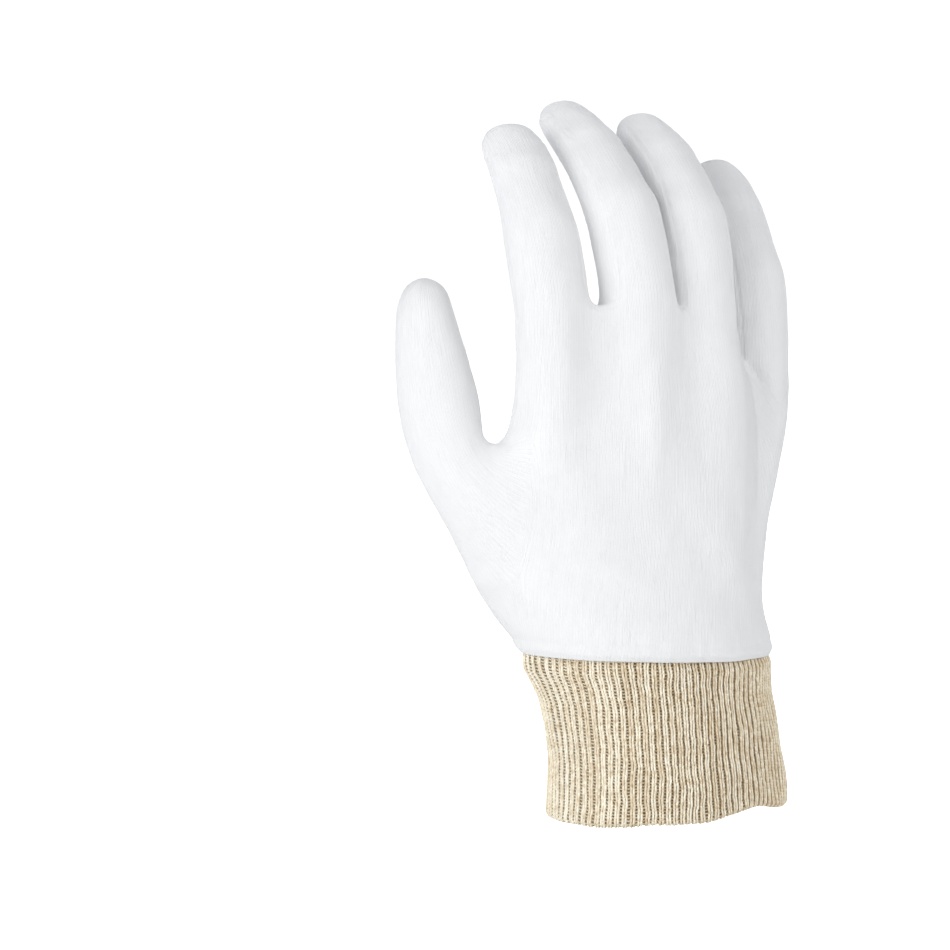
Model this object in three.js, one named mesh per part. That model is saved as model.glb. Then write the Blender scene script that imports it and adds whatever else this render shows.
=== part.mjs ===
// Cotton work glove for the right hand: a sewn body of white knitted cloth on a ribbed wrist cuff.
// Millimetres, +Z up. The origin is the middle of the wrist opening, at the cuff's lower edge.
// The back of the glove faces -Y, the palm +Y, the thumb side -X and the little finger side +X.

import * as THREE from "three";

// Cloth
const WALL = 1.2;
const SEAM_GAP = 0.3;

// Wrist cuff: the slope and the waves are those of its lower edge, and the bend is the power of the
// height by which its middle line leans over to the hem
const CUFF_HEIGHT = 51;
const CUFF_WIDTH = 84;
const CUFF_DEPTH = 61;
const CUFF_WALL = 2.2;
const CUFF_TUCK = 6;
const CUFF_CLEARANCE = 0.4;
const CUFF_SLOPE = 1.5;
const CUFF_WAVE = 0.8;
const CUFF_WAVES = 5;
const CUFF_BEND = 2;
const RIB_COUNT = 96;
const RIB_DEPTH = 0.6;

// Where the hem lies above the wrist opening, and how wide the body is there
const HEM_OUT = -5;
const HEM_FORWARD = 7.5;
const HEM_WIDTH = 88;
const HEM_DEPTH = 63;

// Body between the hem and the finger crotches
const PALM_LENGTH = 116;
const PALM_WIDTH = 100;
const PALM_DEPTH = 34;

// Fingers
const FINGER_WIDTH = 25;
const FINGER_DEPTH = 22;
const INDEX_LENGTH = 74;
const MIDDLE_LENGTH = 93;
const RING_LENGTH = 86;
const LITTLE_LENGTH = 84;

// Thumb, measured from the middle of its seam on the side of the body
const THUMB_WIDTH = 25;
const THUMB_DEPTH = 24;
const THUMB_OUT = 18;
const THUMB_FORWARD = 24;
const THUMB_RISE = 81;
const THUMB_PAD = 19;

const WHITE = 0xf4f4f2;
const BEIGE = 0xe3d6ba;
const CLOTH_ROUGHNESS = 0.95;

// A table's rows hold their values in the order of its named columns.
const table = (columns, rows) =>
  rows.map((row) => Object.fromEntries(columns.map((name, place) => [name, row[place]])));

// One row for each finger. Across is a share of the palm's width, arch of its depth and rise of its
// length; size is a share of the finger's width and depth. Lean and the three joints' bends are degrees.
const FINGERS = table(
  ["across", "arch", "rise", "length", "size", "lean", "knuckle", "middle", "end"],
  [
    [-0.334, 0.06, 0.985, INDEX_LENGTH, 1, 0, 18, 14, 14],
    [-0.027, 0, 1, MIDDLE_LENGTH, 1, -3, 13, 33, 14],
    [0.22, 0.13, 0.985, RING_LENGTH, 0.99, -1, 8, 32, 20],
    [0.5, 0.48, 0.81, LITTLE_LENGTH, 0.92, 0, 4, 22, 24],
  ],
);

// Rings along a finger. Along is a share of its length. Middle and end are the shares of those two
// joints' bends already made. Side is half the angle of the side strip. Width and depth are shares.
const STATIONS = table(
  ["along", "middle", "end", "side", "width", "depth"],
  [
    [0, 0, 0, 45, 1.01, 1],
    [0.14, 0, 0, 42, 1.01, 0.99],
    [0.27, 0.15, 0, 38, 1.01, 1],
    [0.38, 0.8, 0, 34, 0.96, 0.97],
    [0.55, 1, 0.08, 30, 0.88, 0.9],
    [0.73, 1, 0.8, 25, 0.87, 0.86],
    [0.87, 1, 1, 16, 0.84, 0.78],
    [0.96, 1, 1, 40, 0.66, 0.58],
  ],
);
const STRIP_END = 6;

// Sections of the body from the hem up. Rise is a share of the palm's length. Half, back and palm are
// shares of the width and depth of the hem or the palm, as base names. Centre and forward are shares
// of the palm's. Square flattens the oval, side is the angle to the first column past the thumb side,
// and fingers is how far the section has taken the form of the four finger roots.
const SECTIONS = table(
  [
    ...["base", "rise", "centre", "half", "forward", "back"],
    ...["palm", "square", "side", "hollow", "pad", "fingers"],
  ],
  [
    ["hem", 0, 0, 0.5, 0, 0.5, 0.5, 1, 13.85, 0, 0, 0],
    ["hem", 0.035, 0, 0.51, 0, 0.515, 0.515, 1, 15, 0, 0.1, 0],
    ["hem", 0.1, -0.01, 0.497, 0, 0.475, 0.475, 0.97, 20, 0, 0.45, 0],
    ["palm", 0.2, -0.015, 0.43, 0.02, 0.72, 0.76, 0.94, 28, 0, 0.9, 0],
    ["palm", 0.4, -0.02, 0.455, 0.06, 0.58, 0.7, 0.9, 42, 0.12, 1, 0.08],
    ["palm", 0.62, 0.01, 0.48, 0.1, 0.5, 0.58, 0.88, 36, 0.18, 0.15, 0.2],
    ["palm", 0.8, 0.045, 0.5, 0.13, 0.44, 0.48, 0.88, 30, 0.08, 0, 0.55],
    ["palm", 0.92, 0.06, 0.51, 0.13, 0.4, 0.42, 0.88, 28, 0, 0, 0.95],
  ],
);
// The rows of the table above that the thumb's seam starts and ends at
const THUMB_FIRST = 3;
const THUMB_LAST = 5;

// Rings along the thumb. Out, forward and rise are shares of the thumb's three reaches; tilt turns a
// ring from the thumb's own direction toward the side of the body, where the thumb is sewn in.
const THUMB_STATIONS = table(
  ["out", "forward", "rise", "tilt", "width", "depth"],
  [
    [0.54, 0.32, 0.12, 0.6, 1.2, 1.3],
    [0.78, 0.58, 0.29, 0.25, 1.14, 1.16],
    [0.87, 0.73, 0.46, 0, 1.1, 1.06],
    [0.92, 0.81, 0.6, 0, 1, 1],
    [0.99, 0.9, 0.74, 0, 0.85, 0.9],
    [1.01, 0.96, 0.86, 0, 0.74, 0.76],
    [1, 0.99, 0.95, 0, 0.52, 0.5],
  ],
);
// The pad at the root of the thumb: the column it stands highest at, the columns it fades over, and
// the degrees it is turned from the thumb side toward the palm
const PAD_COLUMN = 25.2;
const PAD_SPREAD = 2.2;
const PAD_TURN = 37;
// The hollow of the palm, placed in the same way
const HOLLOW_COLUMN = 20;
const HOLLOW_SPREAD = 2.6;

// Sections of the cuff from its lower edge up to the hem, as shares of its own width and depth
const CUFF_SECTIONS = table(
  ["rise", "width", "depth"],
  [
    [0, 1, 1],
    [0.36, 0.965, 0.965],
    [0.74, 0.965, 0.965],
  ],
);

// Smoothing pulls the points of an eight-sided ring, and those of the body's oval, in by these shares.
const RING_PULL = (2 + Math.SQRT1_2) / 3;
const RING_SIDES = 8;
const COLUMNS = 26;
const BACK_COLUMNS = COLUMNS / 2;
const OVAL_PULL = (2 + Math.cos((2 * Math.PI) / COLUMNS)) / 3;
const RADIAN = Math.PI / 180;

const vec = (x, y, z) => new THREE.Vector3(x, y, z);
const signedPower = (value, power) => Math.sign(value) * Math.abs(value) ** power;
const sum = (list) => list.reduce((total, position) => total.add(position), vec(0, 0, 0));
const mean = (list) => sum(list).divideScalar(list.length);
const fade = (distance) => Math.exp(-(distance ** 2));

// The finger's eight ring angles: 0 is the little finger side, 90 the palm, 270 the back.
function ringAngles(side) {
  return [0, side, 90, 180 - side, 180, 180 + side, 270, 360 - side].map((angle) => angle * RADIAN);
}

// The centre, direction and two section axes of each ring along a finger.
function fingerRings(finger) {
  const centre = vec(
    HEM_OUT + finger.across * PALM_WIDTH,
    HEM_FORWARD + finger.arch * PALM_DEPTH,
    CUFF_HEIGHT + finger.rise * PALM_LENGTH,
  );
  const lean = finger.lean * RADIAN;
  let before = { along: 0, curl: finger.knuckle };
  const rings = STATIONS.map((station) => {
    const curl = finger.knuckle + station.middle * finger.middle + station.end * finger.end;
    const step = (station.along - before.along) * finger.length;
    const halfway = ((curl + before.curl) / 2) * RADIAN;
    centre.add(direction(lean, halfway).multiplyScalar(step));
    before = { along: station.along, curl };
    const ahead = direction(lean, curl * RADIAN);
    const across = direction(lean + Math.PI / 2, curl * RADIAN);
    const towardPalm = ahead.clone().cross(across);
    return ring(
      centre.clone(),
      across.multiplyScalar((FINGER_WIDTH / 2) * finger.size * station.width),
      towardPalm.multiplyScalar((FINGER_DEPTH / 2) * finger.size * station.depth),
      ringAngles(station.side),
    );
  });
  const rest = (1 - before.along) * finger.length;
  const tip = centre.clone().addScaledVector(direction(lean, before.curl * RADIAN), rest);
  return { rings, tip };
}

// The unit vector leaning that far to the little finger's side and curled that far to the palm.
function direction(lean, curl) {
  return vec(Math.sin(lean), Math.cos(lean) * Math.sin(curl), Math.cos(lean) * Math.cos(curl));
}

// A control ring whose smoothed form has these two half axes.
function ring(centre, across, towardPalm, angles) {
  return angles.map((angle) =>
    centre
      .clone()
      .addScaledVector(across, Math.cos(angle) / RING_PULL)
      .addScaledVector(towardPalm, Math.sin(angle) / RING_PULL),
  );
}

// The control cage: points, four-cornered faces that look outward, and the panel of each face.
function bodyCage() {
  const points = [];
  const faces = [];
  const panels = [];
  const point = (position) => points.push(position) - 1;
  const face = (panel, corners) => {
    faces.push(corners);
    panels.push(panel);
  };

  const fingers = FINGERS.map(fingerRings);
  const roots = fingers.map(({ rings }) => rings[0].map(point));

  // The top row of the body walks over the backs of the four finger roots and returns under the palms.
  const top = [roots[0][4]];
  for (const root of roots) {
    top.push(root[5], root[6], root[7]);
  }
  top.push(roots[3][0]);
  for (const root of [...roots].reverse()) {
    top.push(root[1], root[2], root[3]);
  }

  const sectionPoints = (section) =>
    top.map((root, column) => point(bodyPoint(section, column, points[root])));
  const rows = SECTIONS.map(sectionPoints);
  rows.push(top);
  for (let row = 0; row + 1 < rows.length; row++) {
    for (let column = 0; column < COLUMNS; column++) {
      const next = (column + 1) % COLUMNS;
      const isThumbHole = row >= THUMB_FIRST && row < THUMB_LAST && (column === 0 || next === 0);
      if (isThumbHole) {
        continue;
      }
      const panel = column < BACK_COLUMNS ? "back_panel" : "palm_panel";
      face(panel, [rows[row][column], rows[row][next], rows[row + 1][next], rows[row + 1][column]]);
    }
  }

  // Crotch webs belong to the side strip that joins two fingers.
  for (let finger = 0; finger + 1 < roots.length; finger++) {
    const [near, far] = [roots[finger], roots[finger + 1]];
    const strip = `side_strip_${finger + 1}`;
    face(strip, [near[7], far[5], far[4], near[0]]);
    face(strip, [near[0], far[4], far[3], near[1]]);
  }

  fingers.forEach(({ rings, tip }, finger) => {
    const loops = [roots[finger], ...rings.slice(1).map((loop) => loop.map(point))];
    const panelOf = (sector, row) => {
      const isPalm = sector < RING_SIDES / 2;
      const panel = isPalm ? "palm_panel" : "back_panel";
      const isRightSide = sector === 0 || sector === 7;
      const isLeftSide = sector === 3 || sector === 4;
      if (isRightSide && row < STRIP_END && finger + 1 < fingers.length) {
        return `side_strip_${finger + 1}`;
      }
      if (isLeftSide && row < STRIP_END && finger > 0) {
        return `side_strip_${finger}`;
      }
      return panel;
    };
    loft(loops, point(tip), panelOf, face);
  });

  // The thumb starts from the hole left in the side of the body.
  const [low, middle, high] = [rows[THUMB_FIRST], rows[THUMB_FIRST + 1], rows[THUMB_LAST]];
  const last = COLUMNS - 1;
  const hole = [high[0], high[last], middle[last], low[last], low[0], low[1], middle[1], high[1]];
  const thumb = thumbRings(hole.map((index) => points[index]));
  loft([hole, ...thumb.rings.map((loop) => loop.map(point))], point(thumb.tip), () => "thumb_piece", face);
  return { points, faces, panels };
}

// Joins each ring of eight to the next, and closes the last with four faces about the tip.
function loft(loops, tip, panelOf, face) {
  for (let row = 0; row + 1 < loops.length; row++) {
    const [lower, upper] = [loops[row], loops[row + 1]];
    for (let sector = 0; sector < RING_SIDES; sector++) {
      const next = (sector + 1) % RING_SIDES;
      face(panelOf(sector, row), [lower[sector], lower[next], upper[next], upper[sector]]);
    }
  }
  const end = loops[loops.length - 1];
  for (let sector = 0; sector < RING_SIDES; sector += 2) {
    const corners = [tip, end[sector], end[sector + 1], end[(sector + 2) % RING_SIDES]];
    face(panelOf(sector, loops.length - 1), corners);
  }
}

// A point of the body's section: an oval that turns into the line of the finger roots.
function bodyPoint(section, column, root) {
  const [width, depth] = section.base === "hem" ? [HEM_WIDTH, HEM_DEPTH] : [PALM_WIDTH, PALM_DEPTH];
  const isPalm = column > BACK_COLUMNS;
  const angle = columnAngle(section, isPalm ? COLUMNS - column : column);
  const reach = isPalm ? section.palm : -section.back;
  const out = (section.half * width * signedPower(Math.cos(angle), section.square)) / OVAL_PULL;
  const forward = (reach * depth * Math.sin(angle) ** section.square) / OVAL_PULL;
  const oval = vec(
    HEM_OUT + section.centre * PALM_WIDTH - out,
    HEM_FORWARD + section.forward * PALM_DEPTH + forward,
    0,
  );
  const fromPad = ((column + BACK_COLUMNS) % COLUMNS) - (PAD_COLUMN - BACK_COLUMNS);
  const pad = section.pad * THUMB_PAD * fade(fromPad / PAD_SPREAD);
  const hollow = section.hollow * PALM_DEPTH * fade((column - HOLLOW_COLUMN) / HOLLOW_SPREAD);
  const turn = PAD_TURN * RADIAN;
  return oval
    .lerp(vec(root.x, root.y, 0), section.fingers)
    .add(vec(-Math.cos(turn) * pad, Math.sin(turn) * pad - hollow, 0))
    .setZ(CUFF_HEIGHT + section.rise * (root.z - CUFF_HEIGHT));
}

// The angle from the thumb side to a column, counted along the back or along the palm.
function columnAngle(section, step) {
  if (step % BACK_COLUMNS === 0) {
    return (step / BACK_COLUMNS) * Math.PI;
  }
  const last = 180 - 180 / BACK_COLUMNS;
  const rest = (last - section.side) / (BACK_COLUMNS - 2);
  return (section.side + (step - 1) * rest) * RADIAN;
}

// The thumb's control rings, from the middle of the hole it is sewn into.
function thumbRings(hole) {
  const base = mean(hole);
  const place = ({ out, forward, rise }) =>
    base.clone().add(vec(-out * THUMB_OUT, forward * THUMB_FORWARD, rise * THUMB_RISE));
  const centres = THUMB_STATIONS.map(place);
  const tip = place({ out: 1, forward: 1, rise: 1 });
  const path = [base, ...centres, tip];
  const rings = THUMB_STATIONS.map((station, row) => {
    const along = path[row + 2].clone().sub(path[row]).normalize();
    const ahead = along.lerp(vec(-1, 0, 0), station.tilt).normalize();
    const inner = vec(1, 0, 1).projectOnPlane(ahead).normalize();
    const towardPalm = ahead.clone().cross(inner);
    return ring(
      centres[row],
      inner.multiplyScalar((THUMB_WIDTH / 2) * station.width),
      towardPalm.multiplyScalar((THUMB_DEPTH / 2) * station.depth),
      ringAngles(180 / (RING_SIDES / 2)),
    );
  });
  return { rings, tip };
}

const edgeKey = (from, to) => [Math.min(from, to), Math.max(from, to)].join();

// Lists what meets at each point and each edge of a mesh of four-cornered faces.
function connect({ points, faces }) {
  const around = points.map(() => ({ faces: [], edges: [] }));
  const edges = new Map();
  faces.forEach((corners, index) => {
    corners.forEach((from, place) => {
      const to = corners[(place + 1) % corners.length];
      const key = edgeKey(from, to);
      if (!edges.has(key)) {
        const edge = { ends: [from, to], faces: [] };
        edges.set(key, edge);
        around[from].edges.push(edge);
        around[to].edges.push(edge);
      }
      edges.get(key).faces.push(index);
      around[from].faces.push(index);
    });
  });
  return { around, edges };
}

const otherEnd = (edge, from) => (edge.ends[0] === from ? edge.ends[1] : edge.ends[0]);

// One step of Catmull-Clark smoothing: every face becomes four, and the open edge stays a smooth curve.
function smooth(mesh) {
  const { points, faces, panels } = mesh;
  const { around, edges } = connect(mesh);
  const middles = faces.map((corners) => mean(corners.map((corner) => points[corner])));
  const moved = points.map((position, index) => {
    const open = around[index].edges.filter((edge) => edge.faces.length === 1);
    if (open.length) {
      const sides = open.map((edge) => points[otherEnd(edge, index)]);
      return position.clone().multiplyScalar(0.75).addScaledVector(mean(sides), 0.25);
    }
    const count = around[index].edges.length;
    const faceMean = mean(around[index].faces.map((face) => middles[face]));
    const edgeMean = mean(around[index].edges.map((edge) => mean(edge.ends.map((end) => points[end]))));
    return faceMean.addScaledVector(edgeMean, 2).addScaledVector(position, count - 3).divideScalar(count);
  });
  const out = [...moved, ...middles];
  const edgePoint = new Map();
  for (const [key, edge] of edges) {
    const ends = edge.ends.map((end) => points[end]);
    const sides = edge.faces.map((face) => middles[face]);
    const isOpen = sides.length === 1;
    edgePoint.set(key, out.length);
    out.push(mean(isOpen ? ends : [...ends, ...sides]));
  }
  const at = (from, to) => edgePoint.get(edgeKey(from, to));
  const split = [];
  const owners = [];
  faces.forEach((corners, index) => {
    corners.forEach((corner, place) => {
      const next = corners[(place + 1) % corners.length];
      const before = corners[(place + corners.length - 1) % corners.length];
      split.push([corner, at(corner, next), points.length + index, at(before, corner)]);
      owners.push(panels[index]);
    });
  });
  return { points: out, faces: split, panels: owners };
}

// Moves each point to where endless smoothing would take it.
function settle(mesh) {
  const { points, faces } = mesh;
  const { around } = connect(mesh);
  const settled = points.map((position, index) => {
    const open = around[index].edges.filter((edge) => edge.faces.length === 1);
    if (open.length) {
      const sides = open.map((edge) => points[otherEnd(edge, index)]);
      return position.clone().multiplyScalar(2).add(mean(sides)).divideScalar(3);
    }
    const count = around[index].edges.length;
    const total = position.clone().multiplyScalar(count * count);
    for (const edge of around[index].edges) total.addScaledVector(points[otherEnd(edge, index)], 4);
    for (const face of around[index].faces) {
      const corners = faces[face];
      total.add(points[corners[(corners.indexOf(index) + 2) % 4]]);
    }
    return total.divideScalar(count * (count + 5));
  });
  return { ...mesh, points: settled };
}

function pointNormals({ points, faces }) {
  const normals = points.map(() => vec(0, 0, 0));
  for (const [a, b, c, d] of faces) {
    const across = points[c].clone().sub(points[a]);
    const normal = across.cross(points[d].clone().sub(points[b]));
    for (const corner of [a, b, c, d]) normals[corner].add(normal);
  }
  return normals.map((normal) => normal.normalize());
}

// A panel's cloth: its outer faces, the same faces one wall further in, and the cut edge between them.
function panelGeometry(body, normals, openPoints, panel) {
  const faces = body.faces.filter((_, index) => body.panels[index] === panel);
  const sidesOf = (corners) => corners.map((from, place) => [from, corners[(place + 1) % 4]]);
  const directed = new Map(faces.flatMap(sidesOf).map((side) => [side.join(), side]));
  const border = [...directed.values()].filter(([from, to]) => !directed.has([to, from].join()));
  const inward = new Map();
  for (const [from, to] of border) {
    if (openPoints.has(from) && openPoints.has(to)) {
      continue;
    }
    const along = body.points[to].clone().sub(body.points[from]);
    for (const end of [from, to]) {
      const sideways = normals[end].clone().cross(along).normalize();
      const known = inward.get(end) ?? [];
      inward.set(end, [...known, sideways]);
    }
  }
  const used = [...new Set(faces.flat())];
  const place = new Map(used.map((index, order) => [index, order]));
  // Half the seam's gap is taken off each side of it, measured square to the border.
  const outer = used.map((index) => {
    const position = body.points[index].clone();
    const sides = inward.get(index);
    if (!sides) {
      return position;
    }
    const sideways = mean(sides);
    return position.addScaledVector(sideways, SEAM_GAP / 2 / sideways.lengthSq());
  });
  const inner = used.map((index, order) => outer[order].clone().addScaledVector(normals[index], -WALL));
  const triangles = [];
  for (const corners of faces) {
    const [a, b, c, d] = corners.map((corner) => place.get(corner));
    triangles.push(a, b, c, a, c, d);
    triangles.push(...[c, b, a, d, c, a].map((index) => index + used.length));
  }
  for (const [from, to] of border) {
    const [a, b] = [place.get(from), place.get(to)];
    triangles.push(b, a, a + used.length, b, a + used.length, b + used.length);
  }
  return geometryOf([...outer, ...inner], triangles);
}

function geometryOf(points, triangles) {
  const geometry = new THREE.BufferGeometry();
  geometry.setFromPoints(points);
  geometry.setIndex(triangles);
  geometry.computeVertexNormals();
  return geometry;
}

// The cuff: an oval tube with a rib at every other column, whose top is tucked inside the hem.
function cuffGeometry() {
  const columns = 2 * RIB_COUNT;
  const fit = WALL + CUFF_CLEARANCE;
  const neck = { width: HEM_WIDTH / 2 - fit, depth: HEM_DEPTH / 2 - fit };
  const levels = CUFF_SECTIONS.map(({ rise, width, depth }) => ({
    rise,
    width: (width * CUFF_WIDTH) / 2,
    depth: (depth * CUFF_DEPTH) / 2,
  }));
  levels.push({ rise: 1, ...neck }, { rise: 1 + CUFF_TUCK / CUFF_HEIGHT, ...neck });
  const top = levels.length - 1;
  const at = (level, column, inset) => {
    const angle = (column / columns) * 2 * Math.PI;
    const lift = Math.max(0, 1 - level.rise);
    const edge = (CUFF_SLOPE * Math.cos(angle) + CUFF_WAVE * Math.sin(CUFF_WAVES * angle)) * lift;
    const follow = Math.min(1, level.rise) ** CUFF_BEND;
    return vec(
      HEM_OUT * follow + (level.width - inset) * Math.cos(angle),
      HEM_FORWARD * follow + (level.depth - inset) * Math.sin(angle),
      CUFF_HEIGHT * level.rise + edge,
    );
  };
  const points = [];
  for (const level of levels) {
    for (let column = 0; column < columns; column++) {
      points.push(at(level, column, column % 2 ? RIB_DEPTH : 0));
    }
  }
  const innerStart = points.length;
  const innerLevels = [levels[0], levels[1], levels[top]];
  for (const level of innerLevels) {
    for (let rib = 0; rib < RIB_COUNT; rib++) {
      points.push(at(level, 2 * rib, CUFF_WALL));
    }
  }
  const triangles = [];
  for (let level = 0; level < top; level++) {
    for (let column = 0; column < columns; column++) {
      const [a, b] = [level * columns + column, level * columns + ((column + 1) % columns)];
      triangles.push(a, b, b + columns, a, b + columns, a + columns);
    }
  }
  for (let rib = 0; rib < RIB_COUNT; rib++) {
    const next = (rib + 1) % RIB_COUNT;
    for (let level = 0; level + 1 < innerLevels.length; level++) {
      const [a, b] = [innerStart + level * RIB_COUNT + rib, innerStart + level * RIB_COUNT + next];
      triangles.push(b, a, a + RIB_COUNT, b, a + RIB_COUNT, b + RIB_COUNT);
    }
    for (const isTop of [false, true]) {
      const row = isTop ? top * columns : 0;
      const innerRow = innerStart + (isTop ? (innerLevels.length - 1) * RIB_COUNT : 0);
      const [left, valley, right] = [row + 2 * rib, row + 2 * rib + 1, row + 2 * next];
      const [innerLeft, innerRight] = [innerRow + rib, innerRow + next];
      const cap = [left, innerLeft, valley, valley, innerLeft, innerRight, valley, innerRight, right];
      triangles.push(...(isTop ? cap.reverse() : cap));
    }
  }
  return geometryOf(points, triangles);
}

function clothMesh(name, geometry, color) {
  const material = new THREE.MeshStandardMaterial({ color, roughness: CLOTH_ROUGHNESS, metalness: 0 });
  const mesh = new THREE.Mesh(geometry, material);
  mesh.name = name;
  return mesh;
}

const body = settle(smooth(bodyCage()));
const bodyNormals = pointNormals(body);
const openPoints = new Set();
for (const edge of connect(body).edges.values()) {
  if (edge.faces.length === 1) edge.ends.forEach((end) => openPoints.add(end));
}

const glove = new THREE.Group();
for (const panel of new Set(body.panels)) {
  glove.add(clothMesh(panel, panelGeometry(body, bodyNormals, openPoints, panel), WHITE));
}
glove.add(clothMesh("knit_cuff", cuffGeometry(), BEIGE));

export default glove;
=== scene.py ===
"""Cotton work glove: the finished cloth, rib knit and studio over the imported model, in its own frame."""

import bpy
import numpy as np
from bpy.props import FloatProperty, FloatVectorProperty, IntProperty, PointerProperty
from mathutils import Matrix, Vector


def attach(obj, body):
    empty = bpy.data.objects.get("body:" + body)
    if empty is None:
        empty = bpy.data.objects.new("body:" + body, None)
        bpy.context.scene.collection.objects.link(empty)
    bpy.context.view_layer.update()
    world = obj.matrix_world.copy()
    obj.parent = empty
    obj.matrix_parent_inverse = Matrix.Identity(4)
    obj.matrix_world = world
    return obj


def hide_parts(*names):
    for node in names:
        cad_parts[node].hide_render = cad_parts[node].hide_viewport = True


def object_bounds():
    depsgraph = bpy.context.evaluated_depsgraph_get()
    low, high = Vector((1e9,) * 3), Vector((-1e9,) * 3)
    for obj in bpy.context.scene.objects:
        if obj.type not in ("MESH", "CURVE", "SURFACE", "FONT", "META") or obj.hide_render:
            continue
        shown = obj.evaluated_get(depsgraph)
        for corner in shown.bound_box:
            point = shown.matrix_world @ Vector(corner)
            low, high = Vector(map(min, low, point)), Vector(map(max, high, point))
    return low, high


bl_info = {
    "name": "Cotton work glove",
    "version": (1, 0, 0),
    "blender": (4, 5, 0),
    "location": "View3D > Sidebar > Glove",
    "description": "Builds the knitted surfaces of a cotton work glove and its studio",
    "category": "Object",
}

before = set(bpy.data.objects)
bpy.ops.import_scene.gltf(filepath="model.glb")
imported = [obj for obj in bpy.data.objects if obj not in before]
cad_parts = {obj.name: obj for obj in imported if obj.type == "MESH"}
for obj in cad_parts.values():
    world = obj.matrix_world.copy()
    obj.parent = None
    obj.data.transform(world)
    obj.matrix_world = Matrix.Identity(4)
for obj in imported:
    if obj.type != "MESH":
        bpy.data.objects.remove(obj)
cad_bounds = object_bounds()

MM = 0.001
PANELS = ("back_panel", "palm_panel", "side_strip_1", "side_strip_2", "side_strip_3", "thumb_piece")
BACK, PALM, STRIP, THUMB = 0, 1, 2, 5


def table(columns, rows):
    """The columns of a table as arrays, by name."""
    return dict(zip(columns.split(), np.array(rows, float).T))


# The form of the glove in millimetres, the same as the model's
CUFF_HEIGHT = 51
CUFF_WIDTH = 84
CUFF_DEPTH = 61
CUFF_WALL = 2.2
CUFF_SLOPE = 1.5
CUFF_WAVE = 0.8
CUFF_WAVES = 5
HEM_OUT = -5
HEM_FORWARD = 7.5
HEM_WIDTH = 88
HEM_DEPTH = 63
PALM_LENGTH = 116
PALM_WIDTH = 100
PALM_DEPTH = 34
FINGER_WIDTH = 25
FINGER_DEPTH = 22
THUMB_WIDTH = 25
THUMB_DEPTH = 24
THUMB_REACH = np.array([-18.0, 24.0, 81.0])
THUMB_PAD = 19

FINGERS = table(
    "across arch rise length size lean knuckle middle end",
    [
        (-0.334, 0.06, 0.985, 74, 1, 0, 18, 14, 14),
        (-0.027, 0, 1, 93, 1, -3, 13, 33, 14),
        (0.22, 0.13, 0.985, 86, 0.99, -1, 8, 32, 20),
        (0.5, 0.48, 0.81, 84, 0.92, 0, 4, 22, 24),
    ],
)
STATIONS = table(
    "along middle end side width depth",
    [
        (0, 0, 0, 45, 1.01, 1),
        (0.14, 0, 0, 42, 1.01, 0.99),
        (0.27, 0.15, 0, 38, 1.01, 1),
        (0.38, 0.8, 0, 34, 0.96, 0.97),
        (0.55, 1, 0.08, 30, 0.88, 0.9),
        (0.73, 1, 0.8, 25, 0.87, 0.86),
        (0.87, 1, 1, 16, 0.84, 0.78),
        (0.96, 1, 1, 40, 0.66, 0.58),
    ],
)
STRIP_END = 6
SECTIONS = table(
    "is_palm rise centre half forward back palm square side hollow pad fingers",
    [
        (0, 0, 0, 0.5, 0, 0.5, 0.5, 1, 13.85, 0, 0, 0),
        (0, 0.035, 0, 0.51, 0, 0.515, 0.515, 1, 15, 0, 0.1, 0),
        (0, 0.1, -0.01, 0.497, 0, 0.475, 0.475, 0.97, 20, 0, 0.45, 0),
        (1, 0.2, -0.015, 0.43, 0.02, 0.72, 0.76, 0.94, 28, 0, 0.9, 0),
        (1, 0.4, -0.02, 0.455, 0.06, 0.58, 0.7, 0.9, 42, 0.12, 1, 0.08),
        (1, 0.62, 0.01, 0.48, 0.1, 0.5, 0.58, 0.88, 36, 0.18, 0.15, 0.2),
        (1, 0.8, 0.045, 0.5, 0.13, 0.44, 0.48, 0.88, 30, 0.08, 0, 0.55),
        (1, 0.92, 0.06, 0.51, 0.13, 0.4, 0.42, 0.88, 28, 0, 0, 0.95),
    ],
)
THUMB_FIRST = 3
THUMB_LAST = 5
THUMB_STATIONS = table(
    "out forward rise tilt width depth",
    [
        (0.54, 0.32, 0.12, 0.6, 1.2, 1.3),
        (0.78, 0.58, 0.29, 0.25, 1.14, 1.16),
        (0.87, 0.73, 0.46, 0, 1.1, 1.06),
        (0.92, 0.81, 0.6, 0, 1, 1),
        (0.99, 0.9, 0.74, 0, 0.85, 0.9),
        (1.01, 0.96, 0.86, 0, 0.74, 0.76),
        (1, 0.99, 0.95, 0, 0.52, 0.5),
    ],
)
PAD_COLUMN, PAD_SPREAD, PAD_TURN = 25.2, 2.2, np.radians(37)
HOLLOW_COLUMN, HOLLOW_SPREAD = 20, 2.6

# How far the hem is drawn up at the thumb's side, and how far up the glove that still shows
HEM_RAISE, HEM_REACH = 3.0, 18

# The girth of the thumb's flat cloth, and how far its tip lies past its last ring
THUMB_GIRTH, THUMB_CAP = 95, 5

# How far the cuff's ground, its ribs and its inner face go up inside the hem
GROUND_TUCK, RIB_TUCK, INNER_TUCK = 7, 5, 4

# The cuff's radius for the uneven fields, for what a rib strays by, and for the yarn across a rib
FIELD_RADIUS, STRAY_RADIUS, RIB_RADIUS = 40, 38, 37

# The cuff's width and depth at shares of its height, as shares of its full width and depth
CUFF_SECTIONS = table(
    "rise width depth",
    [
        (0, 1, 1),
        (0.36, 0.965, 0.965),
        (0.74, 0.965, 0.965),
        (0.86, 0.995, 0.98),
        (0.94, 1.025, 1),
        (1, 1.015, 0.985),
    ],
)

YARN_SIDES = 5

# The control rings have this many corners, and are widened by what smoothing takes off
RING_SIDES = 8
RING_PULL = (2 + np.sqrt(0.5)) / 3
COLUMNS = 26
BACK_COLUMNS = COLUMNS // 2
OVAL_PULL = (2 + np.cos(2 * np.pi / COLUMNS)) / 3

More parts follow.
